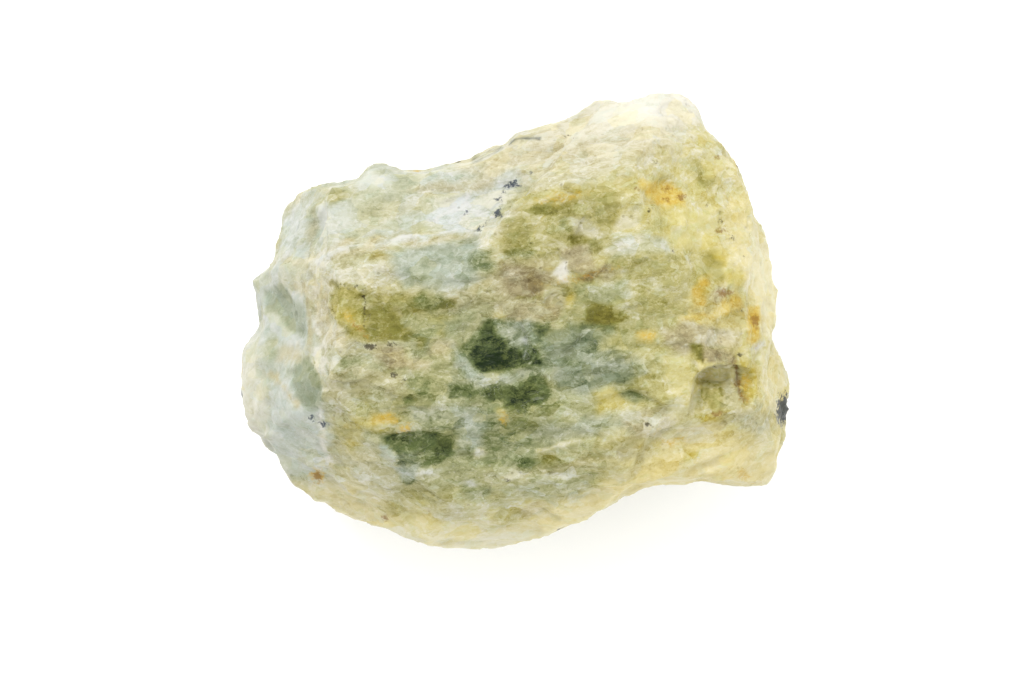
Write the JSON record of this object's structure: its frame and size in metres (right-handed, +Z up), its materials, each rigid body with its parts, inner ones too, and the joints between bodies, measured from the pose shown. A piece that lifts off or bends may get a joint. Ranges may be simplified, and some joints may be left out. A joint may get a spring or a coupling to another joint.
{
  "type": "rough chrysoberyl",
  "caption": "Rough piece of cloudy green to cream chrysoberyl: a blocky broken crystal with fibrous cleavage ledges, lying on a flat cleavage face.",
  "frame": {"origin": "centre of the stone's box, on the flat cleavage face that it rests on", "axes": "+X along the stone's length and its fibres, towards the yellow end; +Y across the stone; +Z up, out of the face that the picture shows"},
  "size_m": [0.0304, 0.0252, 0.0176],
  "materials": {
    "cloudy_chrysoberyl": "satin"
  },
  "bodies": {
    "root": {"chrysoberyl": "cloudy_chrysoberyl"}
  },
  "joints": []
}
